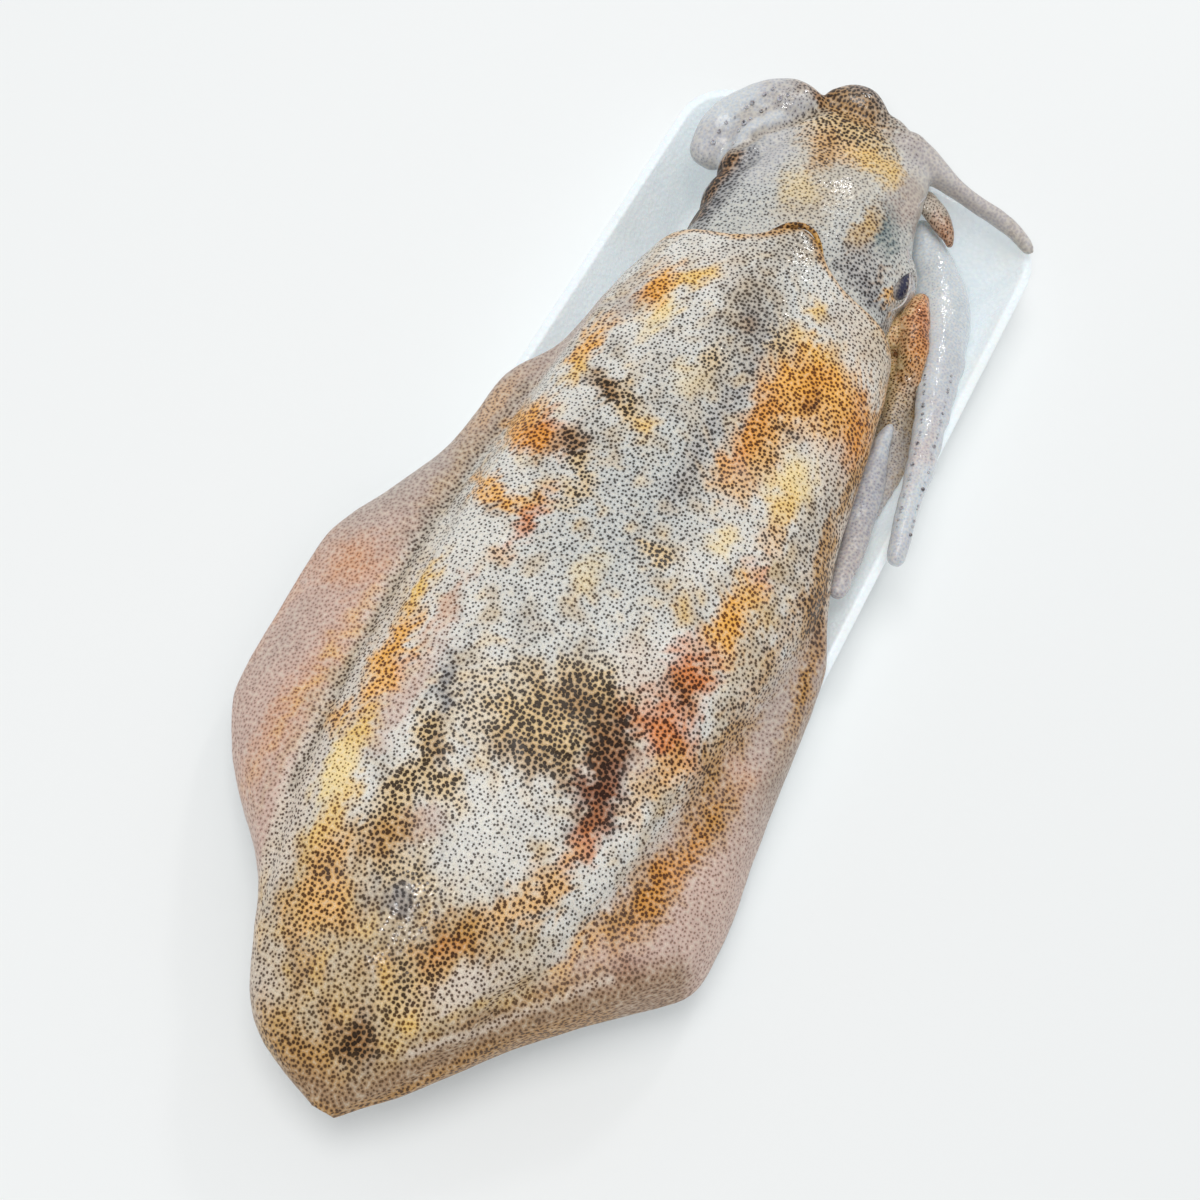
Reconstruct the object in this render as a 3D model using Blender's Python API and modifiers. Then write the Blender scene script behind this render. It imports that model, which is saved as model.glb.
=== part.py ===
"""A whole raw squid lying on its foam tray, as flesh draped over a shallow dish.

Frame: the origin is the centre of the tray's underside, +Y points to the squid's
head, +X to its right side and +Z up. Every size is in metres.
"""

import math

import bmesh
import bpy
from mathutils import Vector

# ---------------------------------------------------------------- driving sizes
MM = 0.001
GAP = 0.3 * MM  # clearance between pieces that touch

TRAY_WIDTH = 0.120
TRAY_LENGTH = 0.260
TRAY_HEIGHT = 0.022
TRAY_CORNER = 0.018
FOAM = 0.003  # thickness of the foam
LIP = 0.0016  # how far the lip stands out from the wall
WALL_SLOPE = 0.0125  # how far the wall leans out from foot to lip
CORNER_STEPS = 7

MANTLE_STATIONS = 40
DOME_STEPS = 18  # over the back, from flank to flank
FIN_STEPS = 5  # across one face of a fin
BELLY_STEPS = 10
FLANK_SPREAD = math.radians(13)  # half the arc of the flank that a fin grows from
FIN_ROOT_THICKNESS = 0.0042
FIN_EDGE_THICKNESS = 0.0014
FIN_DROOP = {-1: 2.3, 1: 4.2}  # the higher, the flatter the fin lies before it hangs down
MANTLE_WALL = 0.003
MOUTH_DEPTH = 0.016  # how far the mantle's open front goes in

ARM_SIDES = 10
ARM_STATIONS = 11

# Each table gives a measure of the mantle at places along Y, tail first, in mm.
TAIL_TIP = -193
FRONT = 57
CENTRE_X = [(TAIL_TIP, 0), (-188, -6.5), (-176, -7.5), (-154, -7), (-125, -4.6), (-82, -2),
            (-25, 0.8), (5, -2), (25, -3), (FRONT, -3.5)]
HALF_WIDTH = [(TAIL_TIP, 3), (-189, 12.5), (-180, 21.5), (-166, 29), (-150, 34), (-125, 40.6),
              (-82, 46.5), (-25, 50.3), (-12, 49), (5, 47.3), (25, 45.5), (42, 42.5), (FRONT, 39)]
BACK_Z = [(TAIL_TIP, 18), (-188, 24), (-175, 32), (-155, 40), (-130, 47), (-90, 53),
          (-40, 55), (20, 53), (FRONT, 50)]
FLANK_Z = [(TAIL_TIP, 15.5), (-180, 19), (-160, 24), (-140, 30), (-120, 33), (-90, 31),
           (0, 29), (FRONT, 28)]
BELLY_Z = [(TAIL_TIP, 12.5), (-180, 11), (-160, 13), (-142, 20), (-131, 23.4), (-121, 23.4),
           (-111, 15), (-101, 7), (-92, 4.6), (FRONT, 4.6)]
# A fin's share of its full spread, then the place of its outer edge.
LEFT_FIN = [(TAIL_TIP, 0), (-176, 0), (-158, 0.30), (-149, 1), (3, 1), (12, 0.5), (24, 0.12), (34, 0)]
LEFT_EDGE_X = [(TAIL_TIP, -5), (-160, -41), (-150, -46), (-136, -63), (-125, -72.5), (-113, -80),
               (-97, -81.5), (-64, -82.5), (-44, -73.7), (-22, -64), (-5, -62), (5, -61), (14, -54),
               (34, -47)]
LEFT_EDGE_Z = [(TAIL_TIP, 15), (-160, 19), (-149, 17), (-122, 10.5), (-97, 9), (-66, 11),
               (-33, 18), (-13, 22), (5, 24.4), (34, 27)]
RIGHT_FIN = [(TAIL_TIP, 0), (-186, 0.2), (-174, 1), (-32, 1), (-24, 0.55), (-14, 0.12), (-6, 0)]
RIGHT_EDGE_X = [(TAIL_TIP, 3), (-186, 11.5), (-172, 22), (-153, 38), (-135, 58), (-123, 69.5),
                (-112, 69.5), (-80, 65.5), (-60, 63.5), (-38, 60.5), (-24, 57), (-6, 52)]
RIGHT_EDGE_Z = [(TAIL_TIP, 15), (-172, 12), (-150, 10), (-123, 9), (-90, 11), (-60, 15),
                (-38, 22), (-24, 25.5), (-6, 27)]
# The front edge leans forward to a peak over the back and hangs back under the belly.
PEAK_REACH = 0.0130
PEAK_WIDTH = 0.0100
PEAK_X = -0.0045
LEAN_START = -0.010

# The head's sections along Y, in mm: y, centre x, half width, top z, bottom z.
HEAD_SECTIONS = [(44, -3, 33, 44, 9), (52, -3.5, 34, 44.5, 7), (66, -3.8, 34.2, 45, 5),
                 (78, -4.1, 33.9, 45, 4.8), (89, -4.2, 32.3, 44.5, 4.8), (101, -4.3, 29, 43, 4.8),
                 (110, -4, 26.2, 41, 8), (116, -2.6, 24, 39, 14), (120, -1, 21, 36.5, 20)]
HEAD_SIDES = 28
HEAD_STATIONS = 15

EYE_RADIUS = 0.0095
EYES = {  # centre of each eyeball
    "eye_right": (0.0225, 0.0855, 0.0250),
    "eye_left": (-0.0305, 0.0870, 0.0250),
}

# Each arm's route in mm: x, y, z, width, height, from its root to its tip.
ARMS = {
    "arm_left_dorsal": [(-23, 125.4, 34, 8, 8), (-28, 125, 34.2, 11, 10), (-35, 122.6, 32, 13, 10),
                        (-41, 117.4, 28.8, 13.5, 9), (-45, 109.5, 25.8, 14, 8.5),
                        (-45.4, 102, 22, 12, 7.5)],
    "arm_right_dorsal": [(-17, 131, 33.6, 9, 9), (-11, 132.8, 34.4, 13, 11), (-4.6, 131, 33, 10, 9)],
    "arm_far_right": [(7.8, 129, 31.8, 13, 10), (14, 128.8, 29.8, 12.5, 10), (21, 127, 28.2, 10, 9),
                      (30, 125.6, 27, 7.5, 7.5), (40, 125, 26.4, 6.3, 6.5), (48.5, 123.6, 26, 6.3, 6),
                      (55, 120.2, 25.2, 4.5, 4.5)],
    "arm_right_brown": [(23.5, 120.4, 22, 8.5, 6), (27.5, 118.4, 21.2, 8.5, 6), (31, 114.4, 20.3, 6.5, 6),
                        (33.4, 110, 19.3, 3.5, 3.5)],
    "tentacle_right": [(29.5, 111, 12, 9, 8), (36.8, 103, 13, 17, 10), (43, 91, 15, 18, 10.5),
                       (46.8, 75, 18.4, 12.5, 9), (51, 57, 22.5, 8, 7), (54, 42, 25.6, 5.8, 5.5),
                       (57, 28, 26.8, 5.4, 5.5), (60, 14, 26.6, 5.6, 5.5), (61.8, 7.5, 25.4, 5, 5)],
    "arm_right_orange": [(35.2, 85, 24.8, 5.5, 6), (36, 79.5, 25.3, 8, 8), (39.8, 71, 25.6, 8, 7.5),
                         (43.4, 62, 25.6, 6, 5.5), (45.8, 54.5, 25.3, 3.2, 3)],
    "arm_right_olive": [(33.2, 76, 15, 6, 7), (37.4, 67, 15.6, 7.5, 8), (42, 56, 16.6, 7, 8),
                        (45, 46, 16.8, 6, 6), (47.4, 37, 15.2, 3.3, 3)],
    "arm_right_lilac": [(46.8, 42, 22, 4.5, 5), (48.8, 31, 21.4, 6, 7), (50.8, 18, 21.6, 5.4, 7),
                        (53, 4, 23.2, 4.4, 6), (54.8, -9, 25.2, 2.6, 3)],
}

# ------------------------------------------------------------------- colours
FOAM_WHITE = (0.80, 0.82, 0.80)
SKIN = (0.55, 0.48, 0.42)
HEAD_SKIN = (0.50, 0.47, 0.43)
PALE_FLESH = (0.66, 0.68, 0.70)
BROWN_FLESH = (0.30, 0.20, 0.15)
ORANGE_FLESH = (0.50, 0.25, 0.14)
OLIVE_FLESH = (0.42, 0.36, 0.22)
LILAC_FLESH = (0.48, 0.47, 0.50)
EYE_NAVY = (0.03, 0.04, 0.09)


# ------------------------------------------------------------------- helpers
def clear_scene():
    for thing in list(bpy.data.objects):
        bpy.data.objects.remove(thing, do_unlink=True)


def collection(name):
    made = bpy.data.collections.new(name)
    bpy.context.scene.collection.children.link(made)
    return made


def material(name, colour, roughness):
    made = bpy.data.materials.new(name)
    made.use_nodes = True
    shader = made.node_tree.nodes["Principled BSDF"]
    shader.inputs["Base Color"].default_value = (*colour, 1)
    shader.inputs["Roughness"].default_value = roughness
    shader.inputs["Metallic"].default_value = 0
    made.diffuse_color = (*colour, 1)
    return made


def place(name, mesh, home, finish):
    made = bpy.data.objects.new(name, mesh)
    made.data.materials.append(finish)
    home.objects.link(made)
    return made


def smooth_curve(rows):
    """A function that runs smoothly through rows of (where, values...), without overshoot."""
    where = [row[0] for row in rows]
    values = [row[1:] for row in rows]
    steps = [b - a for a, b in zip(where, where[1:])]

    def slope(i, k):
        before = (values[i][k] - values[i - 1][k]) / steps[i - 1] if i else None
        after = (values[i + 1][k] - values[i][k]) / steps[i] if i < len(steps) else None
        if before is None or after is None:
            return before if after is None else after
        if before * after <= 0:
            return 0.0
        return 2 * before * after / (before + after)

    slopes = [[slope(i, k) for k in range(len(values[0]))] for i in range(len(rows))]

    def at(x):
        x = min(max(x, where[0]), where[-1])
        i = max(j for j in range(len(steps)) if where[j] <= x)
        t, h = (x - where[i]) / steps[i], steps[i]
        weights = ((1 + 2 * t) * (1 - t) ** 2, t * t * (3 - 2 * t), t * (1 - t) ** 2 * h, t * t * (t - 1) * h)
        mixed = []
        for k in range(len(values[0])):
            terms = (values[i][k], values[i + 1][k], slopes[i][k], slopes[i + 1][k])
            mixed.append(sum(weight * term for weight, term in zip(weights, terms)))
        return mixed[0] if len(mixed) == 1 else mixed

    return at


def ease(x, start, end):
    t = min(max((x - start) / (end - start), 0), 1)
    return t * t * (3 - 2 * t)


def loft(name, rings, close_start=True, close_end=True):
    """A skin over rings of equal count; it runs anticlockwise seen from the last ring."""
    shape = bmesh.new()
    rows = [[shape.verts.new(point) for point in ring] for ring in rings]
    count = len(rings[0])
    for low, high in zip(rows, rows[1:]):
        for i in range(count):
            j = (i + 1) % count
            shape.faces.new((low[i], low[j], high[j], high[i]))
    if close_start:
        shape.faces.new(rows[0][::-1])
    if close_end:
        shape.faces.new(rows[-1])
    bmesh.ops.recalc_face_normals(shape, faces=shape.faces)
    mesh = bpy.data.meshes.new(name)
    shape.to_mesh(mesh)
    shape.free()
    mesh.shade_smooth()
    return mesh


def rounded_rectangle(half_x, half_y, radius, z):
    points = []
    for quarter in range(4):
        turn = quarter * math.pi / 2
        sign_x = 1 if quarter in (0, 3) else -1
        sign_y = 1 if quarter in (0, 1) else -1
        for step in range(CORNER_STEPS + 1):
            angle = turn + step / CORNER_STEPS * math.pi / 2
            points.append(Vector((sign_x * (half_x - radius) + radius * math.cos(angle),
                                  sign_y * (half_y - radius) + radius * math.sin(angle), z)))
    return points


# ---------------------------------------------------------------------- tray
def make_tray(home):
    """One dished sheet of foam: a flat foot, sloping walls and a level lip."""
    half_x, half_y = TRAY_WIDTH / 2, TRAY_LENGTH / 2
    lip_z = TRAY_HEIGHT - FOAM
    sections = [  # inset from the rim's edge, corner radius, height of the underside
        (LIP + WALL_SLOPE + 0.0040, 0.009, 0.0),
        (LIP + WALL_SLOPE, 0.0115, 0.0008),
        (LIP + WALL_SLOPE - 0.0022, 0.0125, 0.0035),
        (LIP + 0.0020, 0.0165, lip_z - 0.0040),
        (LIP, 0.0175, lip_z - 0.0010),
        (0.0010, TRAY_CORNER - 0.0003, lip_z),
        (0.0, TRAY_CORNER, lip_z),
    ]
    rings = [rounded_rectangle(half_x - inset, half_y - inset, radius, z) for inset, radius, z in sections]
    mesh = loft("tray", rings, close_end=False)
    tray = place("tray", mesh, home, material("foam", FOAM_WHITE, 0.55))
    shell = tray.modifiers.new("foam thickness", "SOLIDIFY")
    shell.thickness = FOAM
    shell.offset = 1
    shell.use_even_offset = True
    return tray


# -------------------------------------------------------------------- mantle
centre_x = smooth_curve(CENTRE_X)
half_width = smooth_curve(HALF_WIDTH)
back_z = smooth_curve(BACK_Z)
flank_z = smooth_curve(FLANK_Z)
belly_z = smooth_curve(BELLY_Z)
fins = {
    -1: (smooth_curve(LEFT_FIN), smooth_curve(LEFT_EDGE_X), smooth_curve(LEFT_EDGE_Z)),
    1: (smooth_curve(RIGHT_FIN), smooth_curve(RIGHT_EDGE_X), smooth_curve(RIGHT_EDGE_Z)),
}


def body_point(y, angle, inset=0.0):
    """A point of the mantle's own section, angle 0 at the right flank and 90 degrees over the back."""
    across, up = math.cos(angle), math.sin(angle)
    middle, wide = centre_x(y) * MM, half_width(y) * MM - inset
    flank = flank_z(y) * MM
    tall = (back_z(y) * MM - flank if up > 0 else flank - belly_z(y) * MM) - inset
    square = 0.92 if up > 0 else 0.74  # the belly is pressed flat on the foam
    x = middle + wide * math.copysign(abs(across) ** square, across)
    z = flank + tall * math.copysign(abs(up) ** square, up)
    lean = ease(y * MM, LEAN_START, FRONT * MM)
    peak = PEAK_REACH * math.exp(-(((x - PEAK_X) / PEAK_WIDTH) ** 2)) * max(up, 0)
    shoulder = 0.005 * max(up, 0) ** 0.5 - 0.008 * max(-up, 0)
    return Vector((x, y * MM + lean * (peak + shoulder), z))


def fin_point(y, side, reach, face):
    """A point on a fin: reach runs from root 0 to edge 1, face is 1 on top and -1 underneath."""
    spread, edge_x, edge_z = fins[side]
    root = body_point(y, 0 if side > 0 else math.pi)
    edge = Vector((edge_x(y) * MM, root.y, edge_z(y) * MM))
    droop, fall = FIN_DROOP[side], edge.z - root.z
    middle = root.lerp(edge, reach)
    middle.z = root.z + fall * reach**droop
    upward = Vector((-side * fall * droop * reach ** (droop - 1), 0, abs(edge.x - root.x) + GAP)).normalized()
    thick = FIN_ROOT_THICKNESS + (FIN_EDGE_THICKNESS - FIN_ROOT_THICKNESS) * reach**0.6
    return middle + upward * face * thick / 2 * math.sqrt(max(1 - reach**8, 0))


def flank_points(y, side):
    """The run of points round one flank, from the back to the belly, drawn out to the fin."""
    start = 0 if side > 0 else math.pi
    share = fins[side][0](y)
    points = []
    for step in range(2 * FIN_STEPS + 1):
        across = 1 - step / FIN_STEPS  # 1 at the back, 0 at the fin's edge, -1 at the belly
        resting = body_point(y, start + side * across * FLANK_SPREAD)
        reach = 1 - abs(across)
        drawn = fin_point(y, side, reach**0.85, math.copysign(1, across))
        blend = share * ease(reach, -0.35, 0.25)
        points.append(resting.lerp(drawn, blend))
    return points


def mantle_ring(y):
    ring = []
    for step in range(1, DOME_STEPS):
        angle = FLANK_SPREAD + step / DOME_STEPS * (math.pi - 2 * FLANK_SPREAD)
        ring.append(body_point(y, angle))
    ring += flank_points(y, -1)
    for step in range(1, BELLY_STEPS):
        angle = math.pi + FLANK_SPREAD + step / BELLY_STEPS * (math.pi - 2 * FLANK_SPREAD)
        ring.append(body_point(y, angle))
    ring += flank_points(y, 1)[::-1]
    return ring


def make_mantle(home):
    """The long body and its two fins, hollowed at the front where the neck goes in."""
    rings = []
    for step in range(MANTLE_STATIONS + 1):
        t = step / MANTLE_STATIONS
        y = TAIL_TIP + (FRONT - TAIL_TIP) * (t + 0.045 * math.sin(2 * math.pi * t) ** 3)
        rings.append(mantle_ring(y))
    rim = rings[-1]
    middle = sum(rim, Vector()) / len(rim)

    def mouth(depth, wall):
        ring = []
        for point in rim:
            inward = Vector((middle.x - point.x, 0, middle.z - point.z)).normalized() * wall
            ring.append(Vector((point.x + inward.x, point.y - depth, point.z + inward.z)))
        return ring

    rings.append(mouth(-0.0008, MANTLE_WALL * 0.5))
    rings.append(mouth(0.0010, MANTLE_WALL))
    rings.append(mouth(MOUTH_DEPTH * 0.5, MANTLE_WALL * 1.1))
    floor_y = FRONT * MM - MOUTH_DEPTH
    rings.append([Vector((point.x, floor_y, point.z)) for point in mouth(0, MANTLE_WALL * 1.3)])
    return place("mantle", loft("mantle", rings), home, material("spotted skin", SKIN, 0.25))


# ---------------------------------------------------------------------- head
def make_head(home, cutters):
    """The head from its neck to the crown of arms, with a socket cut for each eye."""
    section = smooth_curve(HEAD_SECTIONS)
    first, last = HEAD_SECTIONS[0][0], HEAD_SECTIONS[-1][0]
    rings = []
    for step in range(HEAD_STATIONS + 1):
        y = first + (last - first) * step / HEAD_STATIONS
        middle, wide, top, bottom = section(y)
        low, high = (top + bottom) * 0.46, top
        ring = []
        for side in range(HEAD_SIDES):
            angle = 2 * math.pi * side / HEAD_SIDES
            up = math.sin(angle)
            tall = high - low if up > 0 else low - bottom
            x = middle + wide * math.copysign(abs(math.cos(angle)) ** 0.9, math.cos(angle))
            ring.append(Vector((x, y, low + tall * math.copysign(abs(up) ** 0.85, up))) * MM)
        rings.append(ring)
    nose = sum(rings[-1], Vector()) / HEAD_SIDES
    rings.append([nose + (point - nose) * 0.6 + Vector((0, 0.0022, 0)) for point in rings[-1]])
    head = place("head", loft("head", rings), home, material("head skin", HEAD_SKIN, 0.3))
    for name, centre in EYES.items():
        socket = eyeball(name + "_socket", EYE_RADIUS + GAP, centre)
        socket_object = place(name + "_socket", socket, cutters, material("cutter", (1, 0, 0), 1))
        socket_object.hide_render = True
        socket_object.display_type = "WIRE"
        cut = head.modifiers.new(name, "BOOLEAN")
        cut.operation = "DIFFERENCE"
        cut.solver = "EXACT"
        cut.object = socket_object
    return head


def eyeball(name, radius, centre):
    shape = bmesh.new()
    bmesh.ops.create_uvsphere(shape, u_segments=16, v_segments=10, radius=radius)
    bmesh.ops.translate(shape, verts=shape.verts, vec=Vector(centre))
    mesh = bpy.data.meshes.new(name)
    shape.to_mesh(mesh)
    shape.free()
    mesh.shade_smooth()
    return mesh


def make_eyes(home):
    finish = material("eye", EYE_NAVY, 0.1)
    for name, centre in EYES.items():
        place(name, eyeball(name, EYE_RADIUS, centre), home, finish)


# ---------------------------------------------------------------------- arms
def swept_arm(name, route):
    """A tapered, flattened tube along the route, with rounded ends."""
    rows = []
    travelled = 0.0
    for i, row in enumerate(route):
        if i:
            travelled += (Vector(row[:3]) - Vector(route[i - 1][:3])).length
        rows.append((travelled, *row))
    along = smooth_curve(rows)
    first, last = rows[0], rows[-1]
    stations = [travelled * step / ARM_STATIONS for step in range(ARM_STATIONS + 1)]
    centres = [Vector(along(s)[:3]) for s in stations]
    rings = []

    def ring(centre, tangent, wide, tall):
        side = tangent.cross(Vector((0, 0, 1))).normalized()
        up = side.cross(tangent).normalized()
        angles = [2 * math.pi * k / ARM_SIDES for k in range(ARM_SIDES)]
        return [(centre + side * wide / 2 * math.cos(a) + up * tall / 2 * math.sin(a)) * MM for a in angles]

    tangents = []
    for i in range(len(centres)):
        before, after = centres[max(i - 1, 0)], centres[min(i + 1, len(centres) - 1)]
        tangents.append((after - before).normalized())
    for back, size in ((0.80, 0.45), (0.50, 0.80)):
        rings.append(ring(centres[0] - tangents[0] * first[5] / 2 * back, tangents[0], first[4] * size,
                          first[5] * size))
    for s, centre, tangent in zip(stations, centres, tangents):
        rings.append(ring(centre, tangent, *along(s)[3:5]))
    for forward, size in ((0.50, 0.80), (0.80, 0.45)):
        rings.append(ring(centres[-1] + tangents[-1] * last[5] / 2 * forward, tangents[-1], last[4] * size,
                          last[5] * size))
    return loft(name, rings)


def make_arms(home):
    colours = {
        "arm_left_dorsal": BROWN_FLESH,
        "arm_right_dorsal": BROWN_FLESH,
        "arm_far_right": LILAC_FLESH,
        "arm_right_brown": BROWN_FLESH,
        "tentacle_right": PALE_FLESH,
        "arm_right_orange": ORANGE_FLESH,
        "arm_right_olive": OLIVE_FLESH,
        "arm_right_lilac": LILAC_FLESH,
    }
    for name, route in ARMS.items():
        finish = material(name + " flesh", colours[name], 0.3)
        place(name, swept_arm(name, route), home, finish)


def main():
    clear_scene()
    home = collection("whole_raw_squid")
    cutters = collection("cutters")
    make_tray(home)
    make_mantle(home)
    make_head(home, cutters)
    make_eyes(home)
    make_arms(home)


main()
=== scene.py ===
# %% [markdown]
# # A raw squid on its foam tray
# This lesson dresses a plain, measured model of a whole raw squid. The measured model is the frame:
# it says where every piece lies. Here each piece is copied, rounded, wrinkled and painted, so that
# it reads as wet, speckled skin on a white foam tray.

# %% Open the frame
import math

import bpy
import numpy as np
from mathutils import Matrix, Vector, noise


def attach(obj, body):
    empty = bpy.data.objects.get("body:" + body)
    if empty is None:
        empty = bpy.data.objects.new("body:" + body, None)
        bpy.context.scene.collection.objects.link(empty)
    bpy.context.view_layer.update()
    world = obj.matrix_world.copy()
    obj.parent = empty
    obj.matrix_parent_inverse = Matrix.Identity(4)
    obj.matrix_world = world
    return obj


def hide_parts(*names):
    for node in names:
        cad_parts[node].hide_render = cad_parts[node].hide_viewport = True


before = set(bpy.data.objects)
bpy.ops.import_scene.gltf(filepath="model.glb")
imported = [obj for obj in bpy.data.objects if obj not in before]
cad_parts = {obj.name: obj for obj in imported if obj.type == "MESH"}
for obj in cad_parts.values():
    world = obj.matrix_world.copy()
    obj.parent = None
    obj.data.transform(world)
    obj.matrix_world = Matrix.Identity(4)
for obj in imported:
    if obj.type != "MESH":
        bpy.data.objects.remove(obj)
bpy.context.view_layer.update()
MM = 0.001
print("nodes in the frame:", sorted(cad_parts))

# %% [markdown]
# ## Hand tools
# Operators act on whatever is selected, so each step starts from a clean selection. A CAD node is
# loose triangles, so a copy of it is merged and its triangles are paired into quads before it is
# smoothed. Every modifier is applied straight away, so a piece is always a plain mesh.

# %% Selecting, copying and finishing


def deselect():
    for thing in list(bpy.context.selected_objects):
        thing.select_set(False)


def only(piece):
    deselect()
    piece.select_set(True)
    bpy.context.view_layer.objects.active = piece
    return piece


def edit(piece):
    only(piece)
    bpy.ops.object.mode_set(mode="EDIT")
    bpy.ops.mesh.select_all(action="SELECT")


def done():
    bpy.ops.object.mode_set(mode="OBJECT")


def copied(node, name):
    """A free copy of a CAD node, merged and turned into quads."""
    piece = bpy.data.objects.new(name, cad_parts[node].data.copy())
    bpy.context.scene.collection.objects.link(piece)
    piece.data.name = name
    piece.data.materials.clear()
    edit(piece)
    bpy.ops.mesh.remove_doubles(threshold=0.01 * MM)
    bpy.ops.mesh.tris_convert_to_quads()
    done()
    return piece


def apply(piece, kind, **settings):
    """Adds one modifier and applies it."""
    only(piece)
    modifier = piece.modifiers.new(kind.lower(), kind)
    for setting, value in settings.items():
        setattr(modifier, setting, value)
    bpy.ops.object.modifier_apply(modifier=modifier.name)


def rounded(piece, levels):
    apply(piece, "SUBSURF", levels=levels, render_levels=levels)
    smooth(piece)


def smooth(piece):
    only(piece)
    bpy.ops.object.shade_smooth()


def joined(name, pieces):
    only(pieces[0])
    for piece in pieces[1:]:
        piece.select_set(True)
    bpy.ops.object.join()
    pieces[0].name = name
    pieces[0].data.name = name
    return pieces[0]


def report(piece):
    print(f"{piece.name}: {len(piece.data.vertices)} points, {len(piece.data.polygons)} faces")


# %% [markdown]
# ## Shaping soft skin
# Skin is never quite smooth. Two kinds of small move do most of it: a fold, which lifts or sinks
# the surface along a line seen from above, and a ripple, which is soft noise along the normals.

# %% Folds and ripples


def points_of(piece):
    places = np.empty(len(piece.data.vertices) * 3)
    piece.data.vertices.foreach_get("co", places)
    return places.reshape(-1, 3) / MM


def normals_of(piece):
    normals = np.empty(len(piece.data.vertices) * 3)
    piece.data.vertex_normals.foreach_get("vector", normals)
    return normals.reshape(-1, 3)


def move_points(piece, places):
    piece.data.vertices.foreach_set("co", (places * MM).ravel())
    piece.data.update()


def noise_at(places, size, seed=0.0):
    """Soft noise from about -1 to 1 whose blobs are size mm across."""
    shift = Vector((seed * 17.3, seed * 5.1, seed * 9.7))
    return np.array([noise.noise(Vector(place) / size + shift) for place in places])


def unit(values):
    """Held between 0 and 1."""
    return np.clip(values, 0, 1)


def distance_to(places, route):
    """How far each point is from a route, and how far along it from 0 to 1."""
    route = np.array(route, float)
    width = route.shape[1]
    nearest = np.full(len(places), 1e9)
    along = np.zeros(len(places))
    lengths = np.linalg.norm(np.diff(route, axis=0), axis=1)
    start = 0.0
    for a, b, length in zip(route[:-1], route[1:], lengths):
        step = unit((places[:, :width] - a) @ (b - a) / length**2)
        away = np.linalg.norm(places[:, :width] - a - step[:, None] * (b - a), axis=1)
        closer = away < nearest
        nearest[closer] = away[closer]
        along[closer] = ((start + step * length) / lengths.sum())[closer]
        start += length
    return nearest, along


def fold(piece, route, width, lift):
    """Lifts (or sinks) a soft ridge, width mm wide, along a route of (x, y) or (x, y, z) in mm."""
    places, normals = points_of(piece), normals_of(piece)
    away, along = distance_to(places, route)
    taper = unit(np.minimum(along, 1 - along) * 6)
    upper = unit(normals[:, 2] * 3 + 0.2)
    amount = lift * np.exp(-((away / width) ** 2)) * taper * upper
    move_points(piece, places + normals * amount[:, None])


def ripple(piece, size, height, seed=0.0):
    places, normals = points_of(piece), normals_of(piece)
    move_points(piece, places + normals * (height * noise_at(places, size, seed))[:, None])


# %% [markdown]
# The third small move is a grab, as a soft brush makes. It pulls one stretch of skin to where it
# belongs, such as the wider part of the tentacle.

# %% Grab


def grab(piece, place, reach, move, side=None):
    """Pulls the points within about reach mm of a place (x, y) by a move in mm. With a side (x, y),
    only the points on that side of the place move."""
    places = points_of(piece)
    offset = places[:, :2] - np.array(place, float)
    amount = np.exp(-((np.hypot(*offset.T) / reach) ** 2))
    if side is not None:
        amount *= unit(offset @ np.array(side, float) / reach * 2 + 0.5)
    move_points(piece, places + amount[:, None] * np.array(move, float))


# %% [markdown]
# ## Squid pigments
# A squid's skin is clear, with thousands of tiny pigment sacs in it. Where the sacs are small the
# skin looks white with fine dark dots. Where they are open it looks gold, rust or brown. Each
# pigment below says the colour between the dots, the colour of the dots and how big the dots are.

# %% The pigments


def linear(red, green, blue):
    """A colour as a painter names it, from 0 to 255, as the light value that a shader wants."""
    values = [value / 255 for value in (red, green, blue)]
    return tuple(v / 12.92 if v <= 0.04045 else ((v + 0.055) / 1.055) ** 2.4 for v in values)


PIGMENTS = {
    "white": ((226, 223, 216), (86, 80, 74), 0.285),
    "ash": ((194, 196, 193), (60, 58, 54), 0.32),
    "bare": ((222, 208, 194), (88, 70, 58), 0.32),
    "grey": ((174, 170, 167), (50, 46, 44), 0.40),
    "smoke": ((168, 154, 136), (70, 58, 46), 0.42),
    "amber": ((244, 178, 80), (106, 54, 10), 0.4),
    "gold": ((240, 194, 98), (126, 80, 24), 0.35),
    "yellow": ((246, 218, 154), (140, 108, 54), 0.26),
    "orange": ((228, 150, 56), (96, 48, 6), 0.43),
    "tawny": ((232, 178, 106), (76, 42, 10), 0.43),
    "rust": ((222, 132, 68), (76, 32, 8), 0.44),
    "olive": ((222, 190, 138), (42, 25, 4), 0.52),
    "umber": ((160, 116, 70), (30, 16, 3), 0.58),
    "wine": ((150, 94, 62), (38, 15, 5), 0.54),
    "ochre": ((192, 160, 109), (90, 64, 28), 0.37),
    "bark": ((192, 142, 74), (62, 34, 8), 0.44),
    "slate": ((140, 138, 140), (46, 43, 44), 0.45),
    "pink": ((204, 172, 158), (158, 126, 110), 0.27),
    "salmon": ((216, 162, 126), (164, 108, 74), 0.29),
    "mauve": ((176, 160, 151), (136, 116, 106), 0.22),
    "lilac": ((184, 184, 193), (146, 142, 150), 0.13),
    "pearl": ((205, 214, 222), (168, 176, 186), 0.10),
    "mist": ((203, 201, 195), (112, 108, 104), 0.23),
    "shade": ((160, 128, 98), (104, 76, 50), 0.32),
    "teal": ((114, 128, 128), (60, 72, 78), 0.3),
    "ink": ((46, 40, 44), (22, 18, 22), 0.40),
}
print(len(PIGMENTS), "pigments")

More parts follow.
